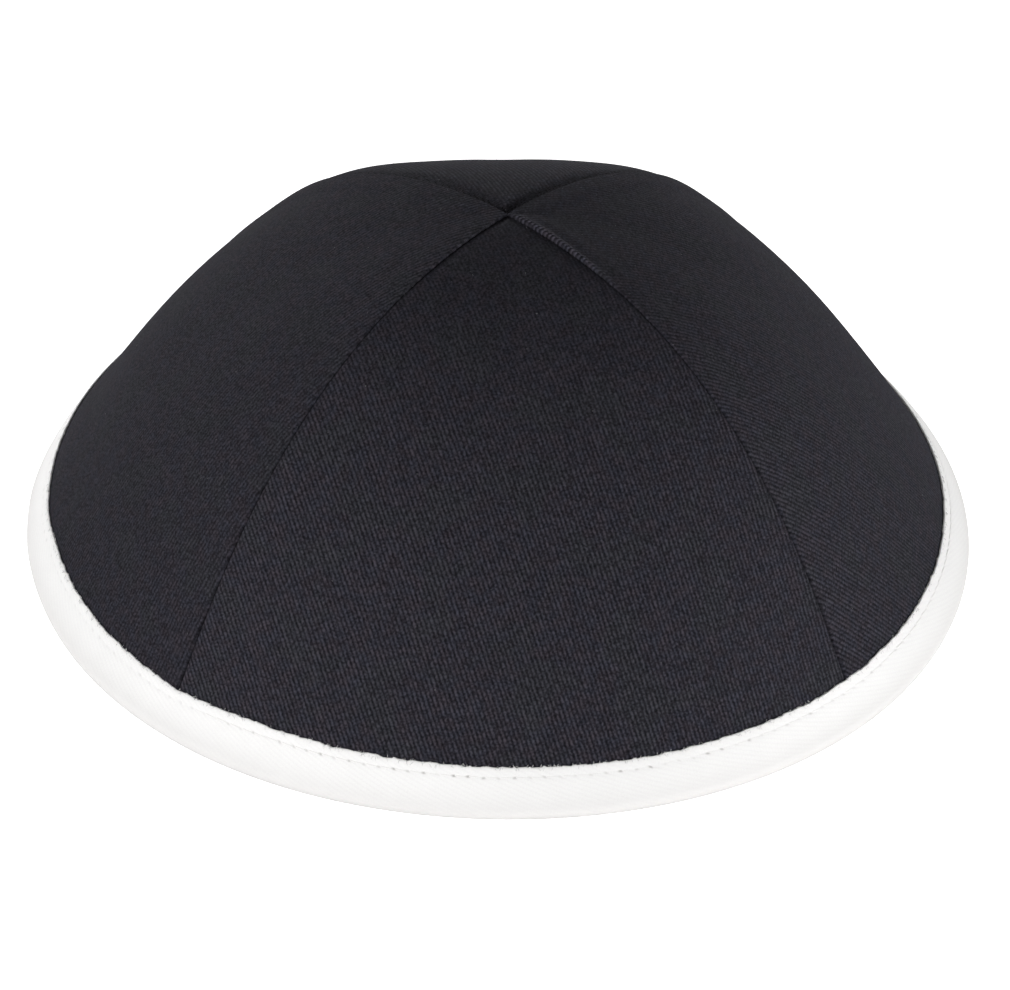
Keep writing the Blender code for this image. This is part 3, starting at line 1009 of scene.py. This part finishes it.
def addFibre(bm, root, heading, out, length, radius, bend, mark):
    # a short bent hair that thins towards its tip, all in mm but for its root
    share = np.linspace(0, 1, 5)
    aside = np.cross(heading, out)
    path = heading * (share * length)[:, None] + aside * (bend[0] * share**2)[:, None]
    path = root + (path + out * (bend[1] * np.sin(share * math.pi))[:, None]) * mm
    girth = radius * mm * np.array([0, 1.0, 0.9, 0.7, 0])
    turns = np.linspace(0, 2 * math.pi, fibreForm["sides"] + 1)
    ring = out[None, :] * np.cos(turns)[:, None] + aside[None, :] * np.sin(turns)[:, None]
    points = path[:, None] + ring[None] * girth[:, None, None]
    cloth = np.broadcast_arrays(share[:, None] * length + mark * 90, turns[None, :] * radius)
    addGrid(bm, points, np.stack(cloth, axis=-1), np.full(points.shape[:2], mark))


def rimFrame(azimuth, below, offset):
    # points just below the tape's sewn edge, with the ways up the cloth, out of it and round the rim
    rise = tapeForm["topRise"] + roundRim("wander", azimuth) - below
    points = liftedPoints(azimuth, rise, offset)
    up = unit(liftedPoints(azimuth, rise + 0.3, offset) - points)
    out = outOfCloth(azimuth, acrossOf(azimuth), 0.9 + 0 * azimuth)
    out = unit(out - up * (out * up).sum(-1, keepdims=True))
    return points, up, out, np.cross(up, out)


def makeFrays():
    form = fibreForm["frays"]
    dice = np.random.default_rng(21)
    azimuth = dice.uniform(-math.pi, math.pi, form["count"])
    bm = startMesh()
    for root, up, out, level in zip(*rimFrame(azimuth, 0.06, tapeForm["proud"] - 0.2)):
        heading = unit(up + level * dice.normal(0, 0.7) + out * dice.uniform(-0.15, 0.5))
        side = np.cross(heading, np.cross(out, heading))
        bend = (dice.normal(0, 0.1), dice.uniform(0, 0.06))
        addFibre(bm, root, heading, side, dice.uniform(*form["length"]), form["radius"], bend, 1.0)
    return finishPiece(bm, "rimFrays", whiteThread, merge=1e-7)


def makeLint():
    dice = np.random.default_rng(22)
    bm = startMesh()
    form = fibreForm["edgeLint"]
    azimuth = dice.uniform(-math.pi, math.pi, form["count"])
    for root, up, out, level in zip(*rimFrame(azimuth, 0.1, tapeForm["proud"] + 0.02)):
        heading = unit(-up + level * dice.normal(0, 0.6))
        bend = (dice.normal(0, 0.15), dice.uniform(0.02, 0.1))
        length = dice.uniform(*form["length"])
        addFibre(bm, root, heading, out, length, form["radius"], bend, dice.uniform(0, 0.4))
    form = fibreForm["crownLint"]
    for panel in crownPanels:
        verts = panel.data.vertices
        spots = np.array([tuple(vert.co) for vert in verts])
        ways = np.array([tuple(vert.normal) for vert in verts])
        # only what faces outwards, above the tape
        fromMiddle = spots - np.array([0, 0, -0.02])
        outer = np.flatnonzero(((ways * fromMiddle).sum(-1) > 0.02) & (spots[:, 2] > 0.014))
        for pick in dice.choice(outer, form["count"] // 4, replace=False):
            way = ways[pick]
            heading = unit(np.cross(way, unit(dice.normal(size=3))))
            bend = (dice.normal(0, 0.08), dice.uniform(0.02, 0.07))
            root = spots[pick] + way * 0.02 * mm
            length = dice.uniform(*form["length"])
            addFibre(bm, root, heading, way, length, form["radius"], bend, dice.uniform(0.1, 1.0) ** 2)
    return finishPiece(bm, "looseLint", looseFibre, merge=1e-7)


makeFrays()
makeLint()


# The floor, lights and camera. The floor's glow is for the camera only, so that the table shows white
# and the cap is lit by the rest.
floorForm = {"side": 6.0, "colour": (0.90, 0.90, 0.90), "glow": 0.90, "spreadGlow": 0.06}


def makeFloor():
    bm = bmesh.new()
    bmesh.ops.create_grid(bm, x_segments=4, y_segments=4, size=floorForm["side"] / 2)
    constants = {
        "Base Color": (*floorForm["colour"], 1), "Roughness": 0.9, "Specular IOR Level": 0.1,
        "Emission Color": (1, 1, 1, 1),
    }
    material, tree, shader = newMaterial("paleFloor", constants)
    seen = addNode(tree, "ShaderNodeLightPath").outputs["Is Camera Ray"]
    spread = floorForm["spreadGlow"]
    glow = maths(tree, "MULTIPLY_ADD", seen, floorForm["glow"] - spread, spread)
    tree.links.new(glow, shader.inputs["Emission Strength"])
    floor = addMesh(bm, "studioFloor", material)
    floor.location.z = -0.00003


makeFloor()

studio = {
    # how bright the pale walls are, by how high above the table: the sine of the angle, and the light
    "walls": ((0.0, 0.6), (0.15, 0.8), (0.55, 1.0), (0.9, 0.6)),
    "strength": 0.09,
    "backdrop": 0.98,  # the same walls, where the camera looks past the cap
    "lamps": {
        # place, size and power of each soft box, which look at the cap
        "frontBox": {"place": (0.0, -0.85, 0.17), "size": (0.9, 0.22), "power": 6.1},
        "leftBox": {"place": (-1.25, 0.15, 0.50), "size": (0.6, 0.6), "power": 12.2},
        "rightBox": {"place": (1.25, -0.60, 0.20), "size": (0.7, 0.35), "power": 4.1},
        "rightLowBox": {"place": (1.15, 0.15, 0.12), "size": (0.7, 0.2), "power": 7.5},
        "backBox": {"place": (-0.25, 1.45, 0.42), "size": (1.2, 0.4), "power": 9.6},
    },
}


def makeWorld():
    world = bpy.data.worlds.new("studioWalls")
    bpy.context.scene.world = world
    world.use_nodes = True
    tree = world.node_tree
    place = addNode(tree, "ShaderNodeTexCoord")
    split = addNode(tree, "ShaderNodeSeparateXYZ", {0: place.outputs["Generated"]})
    ramp = addNode(tree, "ShaderNodeValToRGB", {0: split.outputs["Z"]})
    for extra in studio["walls"][2:]:
        ramp.color_ramp.elements.new(extra[0])
    for element, (spot, value) in zip(ramp.color_ramp.elements, studio["walls"]):
        element.position = spot
        element.color = (value, value, value, 1)
    lit = scaleColour(tree, ramp.outputs[0], studio["strength"])
    seen = addNode(tree, "ShaderNodeLightPath").outputs["Is Camera Ray"]
    pale = (studio["backdrop"],) * 3
    tree.links.new(mixColours(tree, seen, lit, pale), tree.nodes["Background"].inputs["Color"])


def makeLamps():
    for name, lamp in studio["lamps"].items():
        data = bpy.data.lights.new(name, "AREA")
        data.shape = "RECTANGLE"
        data.size, data.size_y = lamp["size"]
        data.energy = lamp["power"]
        box = addObject(name, data)
        box.location = lamp["place"]
        aim = Vector((0, 0, 0.03)) - Vector(lamp["place"])
        box.visible_camera = False
        box.rotation_euler = aim.to_track_quat("-Z", "Y").to_euler()


makeWorld()
makeLamps()
bpy.context.scene.view_settings.view_transform = "Standard"

view = {
    "azimuth": -2.468,  # degrees round from the front, and above the table
    "elevation": 36.386,
    "roll": 0.621,
    "lens": 148.8,
    "distance": 0.800,
    "aimAside": 0.00159,  # where the view's middle passes the cap, across and up the picture
    "aimUp": 0.004731,
}


def makeCamera():
    azimuth, elevation, roll = (math.radians(view[name]) for name in ("azimuth", "elevation", "roll"))
    right = Vector((math.cos(azimuth), math.sin(azimuth), 0))
    towards = Vector((math.sin(azimuth), -math.cos(azimuth), 0))
    back = towards * math.cos(elevation) + Vector((0, 0, math.sin(elevation)))
    up = right.cross(-back)
    target = right * view["aimAside"] + up * view["aimUp"]
    rolledRight = right * math.cos(roll) + up * math.sin(roll)
    rolledUp = up * math.cos(roll) - right * math.sin(roll)
    data = bpy.data.cameras.new("camera")
    data.lens = view["lens"]
    data.sensor_width = 36.0
    data.clip_start = 0.01
    camera = addObject("camera", data)
    turned = camera.matrix_world.copy()
    for row in range(3):
        turned[row][0], turned[row][1], turned[row][2] = rolledRight[row], rolledUp[row], back[row]
        turned[row][3] = target[row] + back[row] * view["distance"]
    camera.matrix_world = turned
    bpy.context.scene.camera = camera


makeCamera()
print("studio made")
